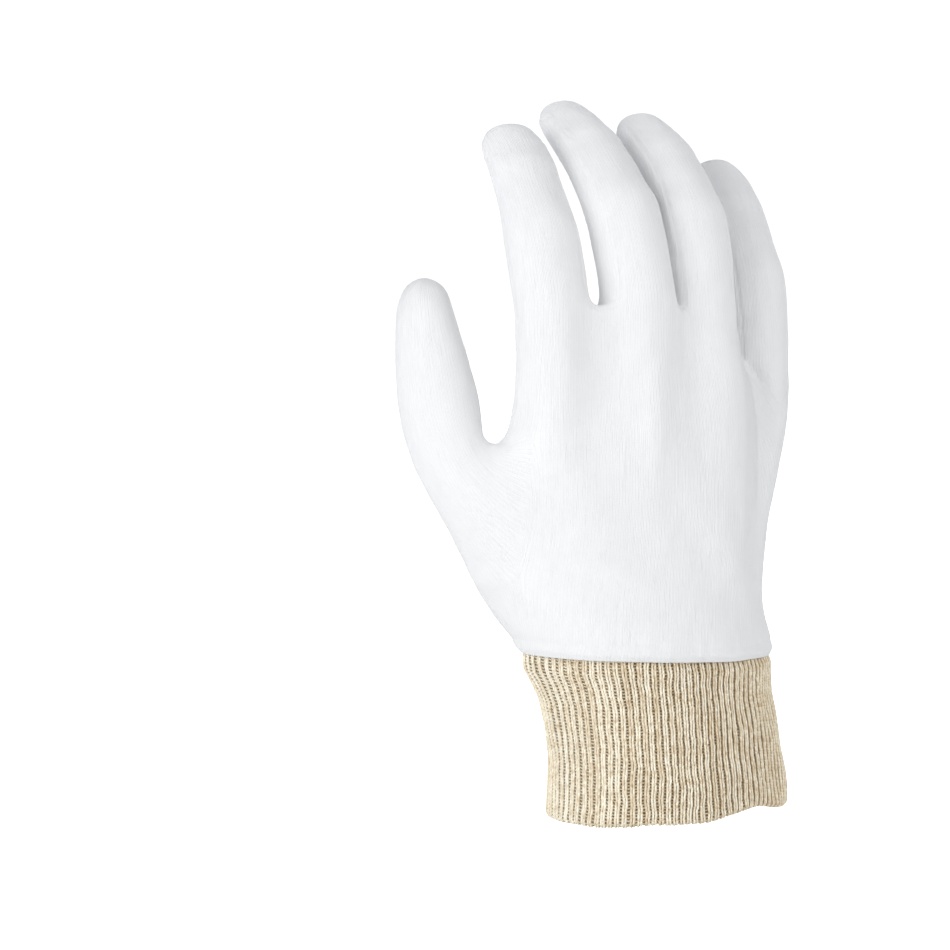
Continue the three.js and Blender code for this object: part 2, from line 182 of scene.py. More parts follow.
# The middles of the back and of the palm lie between these columns and the next
PANEL_MIDDLES = np.array([6, 19])

# The picture's width in pixels, the sensor's in millimetres, and the pixels for each metre at the glove
PICTURE_WIDTH, SENSOR_WIDTH, PIXELS_PER_METRE = 950, 36, 3000

# What the camera and the lights face
CAMERA_TARGET = (-0.05619, 0.03226, 0.11073)
LIGHT_TARGET = (-0.01, 0.02, 0.12)


def unit(vectors):
    """The vectors divided by their lengths."""
    return vectors / np.linalg.norm(vectors, axis=-1, keepdims=True)


def fade(distance):
    """One at no distance and nothing far off: e to the power of minus the distance squared."""
    return np.exp(-(distance**2))


def uneven(points, lengths, seed):
    """A smooth uneven field between -1 and 1: the mean of one sine for each wavelength, each along a
    fixed random direction and from a fixed random start."""
    random = np.random.default_rng(seed)
    waves = unit(random.normal(size=(len(lengths), 3))) * (2 * np.pi / np.array(lengths))[:, None]
    starts = random.uniform(0, 2 * np.pi, len(lengths))
    return np.sin(points @ waves.T + starts).mean(-1)


def leaning(lean, curl):
    """Unit vectors leaning to the little finger's side and curled to the palm: the sine of the lean,
    and its cosine times the sine and the cosine of the curl."""
    lean, curl = np.broadcast_arrays(lean, curl)
    return np.stack([np.sin(lean), np.cos(lean) * np.sin(curl), np.cos(lean) * np.cos(curl)], -1)


def ovals(centres, across, toward, side):
    """Control rings of eight: the centre plus one half axis times the cosine and the other times the
    sine of eight turns, widened by what smoothing takes off."""
    side = np.broadcast_to(side, centres.shape[:-1])
    zero = np.zeros_like(side)
    degrees = [zero, side, zero + 90, 180 - side, zero + 180, 180 + side, zero + 270, 360 - side]
    turn = np.radians(np.stack(degrees, -1))[..., None]
    spread = np.cos(turn) * across[..., None, :] + np.sin(turn) * toward[..., None, :]
    return centres[..., None, :] + spread / RING_PULL


def finger_rings():
    """Control rings by finger, station and sector, and the four tips: each centre is the root plus
    the steps along the curled finger, and each ring is an oval square to it."""
    by_finger = {name: values[:, None] for name, values in FINGERS.items()}
    lean = np.radians(by_finger["lean"])
    bends = STATIONS["middle"] * by_finger["middle"] + STATIONS["end"] * by_finger["end"]
    curl = np.radians(by_finger["knuckle"] + bends)
    halfway = (curl + np.c_[curl[:, :1], curl[:, :-1]]) / 2
    steps = np.diff(STATIONS["along"], prepend=0) * by_finger["length"]
    out = HEM_OUT + FINGERS["across"] * PALM_WIDTH
    forward = HEM_FORWARD + FINGERS["arch"] * PALM_DEPTH
    root = np.stack([out, forward, CUFF_HEIGHT + FINGERS["rise"] * PALM_LENGTH], -1)
    centres = root[:, None] + np.cumsum(leaning(lean, halfway) * steps[..., None], 1)
    ahead = leaning(lean, curl)
    across = leaning(lean + np.pi / 2, curl)
    wide = (FINGER_WIDTH / 2 * by_finger["size"] * STATIONS["width"])[..., None]
    deep = (FINGER_DEPTH / 2 * by_finger["size"] * STATIONS["depth"])[..., None]
    rings = ovals(centres, across * wide, np.cross(ahead, across) * deep, STATIONS["side"])
    rest = ((1 - STATIONS["along"][-1]) * FINGERS["length"])[:, None]
    return rings, centres[:, -1] + ahead[:, -1] * rest


def body_rows(top):
    """Control points by section and column: an oval around the hand that turns into the line of the
    finger roots, with the thumb's pad added and the hollow of the palm taken off."""
    by_section = {name: values[:, None] for name, values in SECTIONS.items()}
    column = np.arange(COLUMNS)
    on_palm = column > BACK_COLUMNS
    step = np.where(on_palm, COLUMNS - column, column)
    rest = (180 - 180 / BACK_COLUMNS - by_section["side"]) / (BACK_COLUMNS - 2)
    between = by_section["side"] + (step - 1) * rest
    turn = np.radians(np.where(step % BACK_COLUMNS, between, step / BACK_COLUMNS * 180))
    width = np.where(by_section["is_palm"], PALM_WIDTH, HEM_WIDTH) / OVAL_PULL
    depth = np.where(by_section["is_palm"], PALM_DEPTH, HEM_DEPTH) / OVAL_PULL
    reach = np.where(on_palm, by_section["palm"], -by_section["back"])
    cosine = np.sign(np.cos(turn)) * np.abs(np.cos(turn)) ** by_section["square"]
    x = HEM_OUT + by_section["centre"] * PALM_WIDTH - by_section["half"] * width * cosine
    y = HEM_FORWARD + by_section["forward"] * PALM_DEPTH
    y = y + reach * depth * np.abs(np.sin(turn)) ** by_section["square"]
    from_pad = (column + BACK_COLUMNS) % COLUMNS - (PAD_COLUMN - BACK_COLUMNS)
    pad = by_section["pad"] * THUMB_PAD * fade(from_pad / PAD_SPREAD)
    hollow = by_section["hollow"] * PALM_DEPTH * fade((column - HOLLOW_COLUMN) / HOLLOW_SPREAD)
    x = x + by_section["fingers"] * (top[:, 0] - x) - np.cos(PAD_TURN) * pad
    y = y + by_section["fingers"] * (top[:, 1] - y) + np.sin(PAD_TURN) * pad - hollow
    z = CUFF_HEIGHT + by_section["rise"] * (top[:, 2] - CUFF_HEIGHT)
    return np.stack([x, y, z], -1)


def thumb_rings(hole):
    """Control rings of the thumb and its tip: ovals along a path that starts in the middle of the hole
    and is square to the body's side at first."""
    base = hole.mean(0)
    shares = np.stack([THUMB_STATIONS["out"], THUMB_STATIONS["forward"], THUMB_STATIONS["rise"]], -1)
    centres = base + shares * THUMB_REACH
    tip = base + THUMB_REACH
    path = np.vstack([base, centres, tip])
    tilt = THUMB_STATIONS["tilt"][:, None]
    ahead = unit(unit(path[2:] - path[:-2]) * (1 - tilt) + np.array([-1.0, 0, 0]) * tilt)
    upward = np.array([1.0, 0, 1.0])
    inner = unit(upward - ahead * (ahead @ upward)[:, None])
    wide = (THUMB_WIDTH / 2 * THUMB_STATIONS["width"])[:, None]
    deep = (THUMB_DEPTH / 2 * THUMB_STATIONS["depth"])[:, None]
    return ovals(centres, inner * wide, np.cross(ahead, inner) * deep, 45.0), tip


def round_faces(grid):
    """The corners of the faces between the rows of a grid of point numbers whose columns close."""
    beside = np.roll(grid, -1, 1)
    return np.stack([grid[:-1], beside[:-1], beside[1:], grid[1:]], -1)


def chart_faces(low, high, along):
    """The cloth coordinates of those faces' corners: across runs from low to high, and along is the
    row's own."""
    along = np.broadcast_to(along, low.shape)
    u = np.stack([low[:-1], high[:-1], high[1:], low[1:]], -1)
    v = np.stack([along[:-1], along[:-1], along[1:], along[1:]], -1)
    return np.stack([u, v], -1)


def arcs(rings):
    """The length round each ring up to each of its points, and all the way round, along the chords."""
    closed = np.concatenate([rings, rings[..., :1, :]], -2)
    steps = np.linalg.norm(np.diff(closed, axis=-2), axis=-1)
    return np.concatenate([np.zeros_like(steps[..., :1]), np.cumsum(steps, -1)], -1)


def tip_faces(end, tip):
    """The four faces that close a ring of eight about its tip."""
    sector = np.arange(0, RING_SIDES, 2)
    return np.stack([np.full(4, tip), end[sector], end[sector + 1], end[(sector + 2) % RING_SIDES]], -1)


def tip_chart(low, high, along, rise):
    """The cloth coordinates of those four faces' corners, from where each sector of the ring starts and
    ends across: the tip is in the middle of the others, and further along by the rise."""
    across = np.stack([low[::2], high[::2], high[1::2]], -1)
    across = np.c_[across.mean(1), across]
    tall = np.full_like(across, along)
    tall[:, 0] += rise
    return np.stack([across, tall], -1)


def cage():
    """The control cage of the white body: points, faces, each face's panel, and for each corner the
    place in the flat cloth, across and along its wales in millimetres."""
    rings, tips = finger_rings()
    finger = np.arange(rings[..., 0].size).reshape(rings.shape[:-1])
    roots = finger[:, 0]
    top = np.concatenate([roots[0, 4:5], roots[:, 5:8].ravel(), roots[3, 0:1], roots[::-1, 1:4].ravel()])
    points = rings.reshape(-1, 3)
    rows = body_rows(points[top])
    body = len(points) + np.arange(rows[..., 0].size).reshape(rows.shape[:-1])
    points = np.vstack([points, rows.reshape(-1, 3)])
    body = np.vstack([body, top])
    first, middle, last = body[THUMB_FIRST], body[THUMB_FIRST + 1], body[THUMB_LAST]
    hole = np.array([last[0], last[-1], middle[-1], first[-1], first[0], first[1], middle[1], last[1]])
    thumb_loops, thumb_tip = thumb_rings(points[hole])
    thumb = len(points) + np.arange(thumb_loops[..., 0].size).reshape(thumb_loops.shape[:-1])
    points = np.vstack([points, thumb_loops.reshape(-1, 3), tips, thumb_tip])
    thumb = np.vstack([hole, thumb])
    tip = len(points) - 5 + np.arange(5)
    faces, panels, charts = [], [], []

    def add(corners, panel, chart):
        faces.append(corners.reshape(-1, 4))
        panels.append(np.broadcast_to(panel, corners.shape[:-1]).ravel())
        charts.append(chart.reshape(-1, 4, 2))

    # Body: across is measured from the middle of the back or of the palm
    column = np.arange(COLUMNS)
    on_back = column < BACK_COLUMNS
    arc = arcs(points[body])
    middles = (arc[:, PANEL_MIDDLES] + arc[:, PANEL_MIDDLES + 1]) / 2
    centred = np.where(on_back, middles[:, :1], middles[:, 1:])
    chart = chart_faces(arc[:, :-1] - centred, arc[:, 1:] - centred, points[body][..., 2] - CUFF_HEIGHT)
    is_hole = np.zeros((len(body) - 1, COLUMNS), bool)
    is_hole[THUMB_FIRST:THUMB_LAST, [0, -1]] = True
    panel = np.broadcast_to(np.where(on_back, BACK, PALM), is_hole.shape)
    add(round_faces(body)[~is_hole], panel[~is_hole], chart[~is_hole])

    # Fingers: the wales of the back and the palm run on along them, and those of a strip along its
    # middle. The last row of the body is the line of the finger roots, three columns to a finger.
    numbers = np.arange(len(FINGERS["length"]))
    across_back = arc[-1, 2 + 3 * numbers] - middles[-1, 0]
    across_palm = arc[-1, COLUMNS - 2 - 3 * numbers] - middles[-1, 1]
    arc = arcs(rings)
    sector = np.arange(RING_SIDES)
    on_palm = sector < RING_SIDES // 2
    panel_middle = arc[..., np.where(on_palm, 2, 6)]
    strip_middle = arc[..., [0, 0, 4, 4, 4, 4, 8, 8]]
    start = np.where(on_palm, across_palm[:, None], across_back[:, None])[:, None]
    root_height = rings[:, 0, :, 2].mean(1)[:, None] - CUFF_HEIGHT
    reach = root_height + STATIONS["along"] * FINGERS["length"][:, None]
    rise = (1 - STATIONS["along"][-1]) * FINGERS["length"]
    below_end = np.arange(len(STATIONS["along"]) - 1)[:, None] < STRIP_END
    for number in numbers:
        side = np.where(np.isin(sector, [7, 0]), number, np.where(np.isin(sector, [3, 4]), number - 1, -1))
        is_strip = (side >= 0) & (side < 3) & below_end
        edges = arc[number, :, :-1], arc[number, :, 1:]
        along = reach[number][:, None]
        on_panels = [edge - panel_middle[number] + start[number] for edge in edges]
        on_strips = [edge - strip_middle[number] for edge in edges]
        charts_here = chart_faces(*on_strips, along), chart_faces(*on_panels, along)
        panel = np.where(is_strip, STRIP + side, np.where(on_palm, PALM, BACK))
        add(round_faces(finger[number]), panel, np.where(is_strip[..., None, None], *charts_here))
        end_chart = tip_chart(on_panels[0][-1], on_panels[1][-1], reach[number, -1], rise[number])
        add(tip_faces(finger[number, -1], tip[number]), np.where(on_palm[::2], PALM, BACK), end_chart)

    # Crotch webs
    near, far = roots[:-1], roots[1:]
    webs = np.stack(
        [
            np.stack([near[:, 7], far[:, 5], far[:, 4], near[:, 0]], -1),
            np.stack([near[:, 0], far[:, 4], far[:, 3], near[:, 1]], -1),
        ],
        1,
    )
    add(webs, STRIP + np.arange(3)[:, None], points[webs][..., :2])

    # Thumb: its wales follow the sectors, so that they fan out at its base
    arc = arcs(points[thumb])
    arc = arc / arc[:, -1:] * THUMB_GIRTH
    along = np.concatenate([[0], np.cumsum(np.linalg.norm(np.diff(points[thumb].mean(1), axis=0), axis=1))])
    add(round_faces(thumb), THUMB, chart_faces(arc[:, :-1], arc[:, 1:], along[:, None]))
    end_chart = tip_chart(arc[-1, :-1], arc[-1, 1:], along[-1], THUMB_CAP)
    add(tip_faces(thumb[-1], tip[4]), THUMB, end_chart)
    return points, np.vstack(faces), np.concatenate(panels), np.vstack(charts)


def make_mesh(name, points, faces, chart=None, normals=None, ends=np.empty((0, YARN_SIDES), int)):
    """A smooth mesh of four-cornered faces from whole arrays, with points in millimetres, and flat
    five-cornered faces where yarn has ends to close."""
    mesh = bpy.data.meshes.new(name)
    mesh.vertices.add(len(points))
    mesh.vertices.foreach_set("co", (points * MM).astype(np.float32).ravel())
    corners = np.concatenate([faces.ravel(), ends.ravel()])
    sizes = np.repeat([4, YARN_SIDES], [len(faces), len(ends)])
    mesh.loops.add(len(corners))
    mesh.loops.foreach_set("vertex_index", corners.astype(np.int32))
    mesh.polygons.add(len(sizes))
    mesh.polygons.foreach_set("loop_start", (np.cumsum(sizes) - sizes).astype(np.int32))
    mesh.polygons.foreach_set("use_smooth", sizes == 4)
    mesh.update(calc_edges=True)
    if chart is not None:
        mesh.uv_layers.new(name="cloth").uv.foreach_set("vector", chart.astype(np.float32).ravel())
    if normals is not None:
        mesh.normals_split_custom_set_from_vertices(normals.astype(np.float32))
    return mesh


def smoothed(level):
    """The cage smoothed by Catmull-Clark subdivision to its limit: points, faces, panels and chart."""
    points, faces, panels, chart = cage()
    mesh = make_mesh("cage", points, faces, chart)
    mesh.polygons.foreach_set("material_index", panels.astype(np.int32))
    holder = bpy.data.objects.new("cage", mesh)
    bpy.context.scene.collection.objects.link(holder)
    modifier = holder.modifiers.new("smooth", "SUBSURF")
    modifier.levels = modifier.render_levels = level
    modifier.use_limit_surface = True
    shown = holder.evaluated_get(bpy.context.evaluated_depsgraph_get()).to_mesh()
    points = np.zeros((len(shown.vertices), 3), np.float32)
    shown.vertices.foreach_get("co", points.ravel())
    faces = np.zeros((len(shown.polygons), 4), np.int32)
    shown.loops.foreach_get("vertex_index", faces.ravel())
    panels = np.zeros(len(faces), np.int32)
    shown.polygons.foreach_get("material_index", panels)
    chart = np.zeros((len(faces), 4, 2), np.float32)
    shown.uv_layers["cloth"].uv.foreach_get("vector", chart.ravel())
    bpy.data.objects.remove(holder)
    bpy.data.meshes.remove(mesh)
    return points.astype(float) / MM, faces, panels, chart


def point_normals(points, faces):
    """Each point's normal: the sum of the cross products of the diagonals of the faces round it."""
    cross = np.cross(points[faces[:, 2]] - points[faces[:, 0]], points[faces[:, 3]] - points[faces[:, 1]])
    sums = [np.bincount(faces.ravel(), np.repeat(part, 4), len(points)) for part in cross.T]
    return unit(np.stack(sums, -1))


def distance_to(points, line):
    """The distance from each point to the nearest of a line's points, from their squared lengths and
    dot products."""
    squares = (line**2).sum(1)
    blocks = np.array_split(points, max(1, len(points) // 2000))
    nearest = [((block**2).sum(1)[:, None] + squares - 2 * block @ line.T).min(1) for block in blocks]
    return np.sqrt(np.maximum(np.concatenate(nearest), 0))


def edge_points(faces):
    """The numbers of the points on the open edge: those of sides that only one face has."""
    sides = np.sort(np.stack([faces, np.roll(faces, -1, 1)], -1).reshape(-1, 2), 1)
    keys, counts = np.unique(sides[:, 0].astype(np.int64) << 32 | sides[:, 1], return_counts=True)
    alone = keys[counts == 1]
    return np.unique(np.concatenate([alone >> 32, alone & 0xFFFFFFFF]))


# Soft dents and ridges, by the side they are on, place, half sizes, turn in degrees and height, all
# in millimetres. The side is -1 for the back and 1 for the palm.
RELIEF = table(
    "side x z wide tall turn height",
    [
        (-1, -24, 155, 8, 11, 0, -1.9),
        (-1, -26, 127, 10, 14, 14, -1.6),
        (-1, -38, 148, 6, 14, -4, 0.8),
        (-1, -7, 131, 5, 20, 6, 1.3),
        (-1, 8, 150, 5, 11, 0, -1.5),
        (-1, 17, 128, 6, 20, 10, 0.4),
        (-1, -12, 98, 14, 16, -20, -0.8),
        (-1, 20, 86, 12, 16, 10, 0.6),
        (-1, 30, 116, 8, 18, 14, -0.6),
        (-1, 37.5, 145.5, 2, 10, -45, -1.6),
        (-1, 34, 141, 3.5, 10, -45, 0.8),
        (-1, 43, 149, 3.5, 9, -45, 0.5),
        (-1, -30, 84, 14, 5, 30, 0.7),
        (-1, 12, 74, 20, 4, -6, 0.5),
        (1, -20, 96, 3, 26, 24, -1.0),
        (1, -12, 99, 3, 24, 26, 0.8),
        (1, 8, 126, 26, 2.6, -8, -0.9),
        (1, 6, 121, 24, 2.6, -8, 0.6),
        (1, -14, 140, 22, 2.2, 14, -0.8),
        (1, 12, 72, 2.6, 14, -12, -0.6),
        (1, 18, 70, 2.6, 13, -8, 0.5),
        (1, -32, 76, 2.4, 14, 22, -0.6),
    ],
)


def turn_at(points):
    """The angle of each point round the wrist."""
    return np.arctan2(points[:, 1] - HEM_FORWARD, points[:, 0] - HEM_OUT)


def relief(points, normals):
    """The height of the soft dents and ridges: for each row a fading oval in the upright plane, times
    how far the cloth there faces to that side."""
    turn = np.radians(RELIEF["turn"])
    across = points[:, :1] - RELIEF["x"]
    up = points[:, 2:] - RELIEF["z"]
    along = across * np.sin(turn) + up * np.cos(turn)
    beside = across * np.cos(turn) - up * np.sin(turn)
    ovals = RELIEF["height"] * fade(np.hypot(beside / RELIEF["wide"], along / RELIEF["tall"]))
    return (ovals * np.clip(RELIEF["side"] * normals[:, 1:2], 0, 1)).sum(1)


# Creases across a finger on its palm side, 1, and the swells of its joints on the back, -1: share of
# its length, offset, half width and depth in millimetres
CREASES = table(
    "side along offset wide depth",
    [
        (1, 0.08, 0, 0.9, 0.5),
        (1, 0.08, 3.4, 0.8, 0.35),
        (1, 0.36, -1.6, 0.8, 0.45),
        (1, 0.36, 1.2, 0.8, 0.55),
        (1, 0.36, 4, 0.7, 0.3),
        (1, 0.68, -1, 0.7, 0.4),
        (1, 0.68, 1.6, 0.7, 0.35),
        (-1, 0.37, 0, 7, -1.3),
        (-1, 0.7, 0, 5, -0.7),
    ],
)


def finger_creases(points, normals):
    """The height of the creases inside the bent fingers and of the joints outside: for each one a dip
    across the finger's own direction, as deep as the cloth there faces to that side, with soft swells
    either side of it."""
    rings, _ = finger_rings()
    height = np.zeros(len(points))
    for path in rings.mean(2):
        places, onward = (
            np.stack([np.interp(CREASES["along"] + step, STATIONS["along"], part) for part in path.T], -1)
            for step in (0, 0.05)
        )
        ahead = unit(onward - places)
        toward = unit(np.cross(ahead, [1.0, 0, 0]))
        offset = points[:, None] - places
        reach = (offset * ahead).sum(-1) - CREASES["offset"]
        facing = np.clip(CREASES["side"] * (normals[:, None] * toward).sum(-1) + 0.2, 0, 1) ** 1.5
        near = fade(np.linalg.norm(offset, axis=-1) / 17)
        dips = fade(reach / CREASES["wide"]) - 0.45 * fade(reach / (3 * CREASES["wide"]))
        height -= (CREASES["depth"] * dips * facing * near).sum(1)
    return height


def drawn_up(points):
    """The points with the hem drawn up at the thumb's side: raised by one minus the cosine of the turn
    round the wrist, fading upward from the hem."""
    share = (1 - np.cos(turn_at(points))) / 2
    raised = points.copy()
    raised[:, 2] += HEM_RAISE * share * fade((points[:, 2] - CUFF_HEIGHT) / HEM_REACH)
    return raised


def worn_cloth(settings):
    """The white body's outer surface as worn: the smoothed cage, moved along its normals by the relief
    of the back, slow unevenness, the grooves and ridges of the seams, and the roll of the hem."""
    points, faces, panels, chart = smoothed(settings.smooth_level)
    normals = point_normals(points, faces)
    corners = [faces[panels == number].ravel() for number in range(len(PANELS))]
    on_panel = np.stack([np.bincount(part, minlength=len(points)) for part in corners]) > 0
    on_seam = on_panel.sum(0) > 1
    seam = distance_to(points, points[on_seam])
    height = relief(points, normals) + finger_creases(points, normals)

    # Slow unevenness of worn cloth, from waves of 30 mm down to ones of 4 mm
    height += 0.3 * uneven(points, [31, 24, 19, 27], 3) + 0.15 * uneven(points, [11, 13, 9, 8], 5)
    height += 0.05 * uneven(points, [5, 4.2, 3.6, 6, 4.6], 8)

    # The thumb's seam is drawn flat over the back and only puckers the palm
    at_thumb = distance_to(points, points[on_panel[THUMB] & on_seam]) < 4
    flat = np.where(at_thumb, np.clip(0.3 + 0.9 * normals[:, 1], 0.05, 1), 1)
    pinch = 1 + 0.35 * uneven(points, [2.6, 3.1, 2.2, 3.7], 12)
    ridge = settings.seam_ridge / MM * np.where(on_panel[STRIP:].any(0), 1, 0.4)
    height += flat * pinch * ridge * fade((seam - 1.4) / 1.0)
    height -= flat * pinch * settings.seam_depth / MM * fade(seam / 0.45)

    # The hem's roll, with a dip over it, and the small gathers of the cloth that is sewn to the cuff
    above_hem = points[:, 2] - CUFF_HEIGHT
    turn = turn_at(points)
    roll = settings.hem_height / MM
    swell = fade((above_hem - roll / 2) / (roll / 2)) - 0.5 * fade((above_hem - 1.4 * roll) / (roll / 2.4))
    height += settings.hem_roll / MM * swell
    gather = np.sin(34 * turn + 1.5 * np.sin(5 * turn)) + 0.7 * np.sin(53 * turn + 1)
    height += 0.07 * gather * fade(above_hem / 9) * np.clip(above_hem / 2, 0, 1)
    return drawn_up(points + normals * height[:, None]), faces, panels, chart


def piece(name, mesh, material, slot, *nodes):
    """A finished piece of the glove that rides on its body and stands for the named nodes."""
    mesh.materials.append(material)
    made = bpy.data.objects.new(name, mesh)
    bpy.context.scene.collection.objects.link(made)
    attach(made, "root")
    if nodes:
        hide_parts(*nodes)


def node_group(name, inputs, outputs):
    """An empty shader group with named sockets, and the node lists to fill it with."""
    group = bpy.data.node_groups.new(name, "ShaderNodeTree")
    for label, kind, default in inputs:
        socket = group.interface.new_socket(label, in_out="INPUT", socket_type=kind)
        if default is not None:
            socket.default_value = default
    for label, kind in outputs:
        group.interface.new_socket(label, in_out="OUTPUT", socket_type=kind)
    return group, group.nodes.new("NodeGroupInput"), group.nodes.new("NodeGroupOutput")


class Wiring:
    """Short ways to add and join the nodes of one tree."""

    def __init__(self, tree):
        self.tree = tree

    def node(self, kind, **values):
        made = self.tree.nodes.new(kind)
        for name, value in values.items():
            setattr(made, name, value)
        return made

    def join(self, source, socket):
        if isinstance(source, (int, float, tuple)):
            socket.default_value = source
        else:
            self.tree.links.new(source, socket)

    def math(self, operation, first, second=0.0, third=0.0):
        made = self.node("ShaderNodeMath", operation=operation)
        for place, source in enumerate((first, second, third)):
            self.join(source, made.inputs[place])
        return made.outputs[0]

    def mix(self, share, first, second):
        made = self.node("ShaderNodeMix", data_type="RGBA")
        for name, source in (("Factor", share), ("A", first), ("B", second)):
            sockets = [s for s in made.inputs if s.name == name and s.enabled]
            self.join(source, sockets[0])
        return [s for s in made.outputs if s.enabled][0]

    def noise(self, vector, scale, detail=2.0, roughness=0.5):
        made = self.node("ShaderNodeTexNoise")
        self.join(vector, made.inputs["Vector"])
        made.inputs["Scale"].default_value = scale
        made.inputs["Detail"].default_value = detail
        made.inputs["Roughness"].default_value = roughness
        return made.outputs["Fac"]

    def bump(self, height, distance, strength, shader):
        made = self.node("ShaderNodeBump")
        made.inputs["Distance"].default_value = distance
        made.inputs["Strength"].default_value = strength
        self.join(height, made.inputs["Height"])
        self.join(made.outputs[0], shader.inputs["Normal"])

    def group(self, tree, **inputs):
        made = self.node("ShaderNodeGroup", node_tree=tree)
        for name, source in inputs.items():
            self.join(source, made.inputs[name])
        return made.outputs


def knit_stitches():
    """The group for the face of a plain knit: rows of V stitches by the cloth coordinates. Its height
    is the rounded back of each leg, one minus the square of the way to the leg's edge, and its gap is
    one between the wales."""
    known = bpy.data.node_groups.get("Knit stitches")
    if known:
        return known
    inputs = [
        ("Cloth", "NodeSocketVector", None),
        ("Wale", "NodeSocketFloat", 1.1),
        ("Course", "NodeSocketFloat", 0.9),
    ]
    outputs = [("Height", "NodeSocketFloat"), ("Gap", "NodeSocketFloat")]
    group, given, put = node_group("Knit stitches", inputs, outputs)
    wiring = Wiring(group)
    split = wiring.node("ShaderNodeSeparateXYZ")
    wiring.join(given.outputs["Cloth"], split.inputs[0])

    # Slow noise strays the wales by up to 0.2 mm
    shift = wiring.math("SUBTRACT", wiring.noise(given.outputs["Cloth"], 0.22), 0.5)
    strayed = wiring.math("MULTIPLY_ADD", shift, 0.45, split.outputs[0])

    # A wale has two legs side by side, each with its own sides at -1 and 1, and slanted up by 0.8 courses
    wale = wiring.math("DIVIDE", strayed, given.outputs["Wale"])
    leg = wiring.math("PINGPONG", wale, 0.5)
    across = wiring.math("MULTIPLY", wiring.math("SUBTRACT", leg, 0.25), 4.0)
    rounded = wiring.math("SUBTRACT", 1.0, wiring.math("MULTIPLY", across, across))
    course = wiring.math("DIVIDE", split.outputs[1], given.outputs["Course"])
    slanted = wiring.math("ADD", course, wiring.math("MULTIPLY", leg, 1.6))
    stitch = wiring.math("MULTIPLY", wiring.math("PINGPONG", slanted, 0.5), 2.0)
    stitch = wiring.math("MULTIPLY", stitch, 0.2)
    height = wiring.math("ADD", wiring.math("MULTIPLY", rounded, 0.75), stitch)

    # Streaks along the wales, where the yarn is thicker or thinner
    streaks = wiring.node("ShaderNodeMapping")
    streaks.inputs["Scale"].default_value = (1.3, 0.09, 1.0)
    wiring.join(given.outputs["Cloth"], streaks.inputs["Vector"])
    streak = wiring.noise(streaks.outputs[0], 1.0, 3.0, 0.6)
    height = wiring.math("MULTIPLY", streak, wiring.math("ADD", height, 0.8))
    gap = wiring.math("POWER", wiring.math("SUBTRACT", 1.0, wiring.math("MULTIPLY", leg, 2.0)), 6.0)
    wiring.join(height, put.inputs["Height"])
    wiring.join(gap, put.inputs["Gap"])
    return group


def cotton_fibres():
    """The group for loose cotton fibres: fine noise as height and slow noise as a mottle."""
    known = bpy.data.node_groups.get("Cotton fibres")
    if known:
        return known
    inputs = [("Place", "NodeSocketVector", None)]
    outputs = [("Height", "NodeSocketFloat"), ("Mottle", "NodeSocketFloat")]
    group, given, put = node_group("Cotton fibres", inputs, outputs)
    wiring = Wiring(group)
    wiring.join(wiring.noise(given.outputs["Place"], 1900.0, 4.0, 0.7), put.inputs["Height"])
    wiring.join(wiring.noise(given.outputs["Place"], 160.0, 5.0, 0.65), put.inputs["Mottle"])
    return group


def cloth_shader(name):
    """A new material with a Principled shader set as matte cotton, and its wiring."""
    material = bpy.data.materials.new(name)
    material.use_nodes = True
    shader = material.node_tree.nodes["Principled BSDF"]
    shader.inputs["Roughness"].default_value = 0.95
    shader.inputs["Specular IOR Level"].default_value = 0.15
    shader.inputs["Sheen Weight"].default_value = 0.25
    shader.inputs["Sheen Roughness"].default_value = 0.5
    return material, shader, Wiring(material.node_tree)


def white_knit(settings):
    """White cotton interlock: fine wales along the cloth, a faint mottle, and fuzz in the bump."""
    material, shader, wiring = cloth_shader("White knit")
    cloth = wiring.node("ShaderNodeUVMap", uv_map="cloth").outputs[0]
    place = wiring.node("ShaderNodeTexCoord").outputs["Object"]
    wale, course = settings.wale / MM, settings.course / MM
    stitches = wiring.group(knit_stitches(), Cloth=cloth, Wale=wale, Course=course)
    fibres = wiring.group(cotton_fibres(), Place=place)
    base = tuple(settings.colour) + (1.0,)
    shaded = tuple(part * 0.9 for part in settings.colour) + (1.0,)

    # A little darker in the gaps between the wales, a painted shade, and in the mottle, the cloth's own
    # uneven tone
    mottle = wiring.math("MULTIPLY", fibres["Mottle"], 0.3)
    share = wiring.math("ADD", wiring.math("MULTIPLY", stitches["Gap"], 0.55), mottle)
    wiring.join(wiring.mix(share, base, shaded), shader.inputs["Base Color"])
    height = wiring.math("ADD", stitches["Height"], wiring.math("MULTIPLY", fibres["Height"], 0.5))
    wiring.bump(height, settings.stitch_depth, 0.7, shader)
    return material


def rib_yarn(settings, name, darker):
    """Unbleached cotton yarn: cream with tan and brown flecks, darker by the given share as a
    painted shade, and a tone for each point that holds its stitch's own tone and painted shade."""
    material, shader, wiring = cloth_shader(name)
    place = wiring.node("ShaderNodeTexCoord").outputs["Object"]
    tone = wiring.node("ShaderNodeAttribute", attribute_name="tone").outputs["Fac"]
    fibres = wiring.group(cotton_fibres(), Place=place)
    # The dark colour is that of the flecks, and also of the painted shade that the tone brings in
    light = tuple(part * (1 - darker) for part in settings.colour) + (1.0,)
    dark = tuple(part * (1 - darker) for part in settings.fleck_and_shade_colour) + (1.0,)

    # The share of the darker colour: few strong flecks, the point's tone, which is its stitch's own tone
    # plus painted shade, and the fibres' mottle
    fleck = wiring.math("MULTIPLY", wiring.math("POWER", wiring.noise(place, 900.0), 4.0), 2.2)
    share = wiring.math("ADD", fleck, wiring.math("MULTIPLY", tone, 0.75))
    mottle = wiring.math("SUBTRACT", fibres["Mottle"], 0.5)
    share = wiring.math("ADD", share, wiring.math("MULTIPLY", mottle, 0.5))
    clamped = wiring.math("MINIMUM", wiring.math("MAXIMUM", share, 0.0), 1.0)
    wiring.join(wiring.mix(clamped, light, dark), shader.inputs["Base Color"])
    wiring.bump(fibres["Height"], 0.0002, 0.6, shader)
    return material


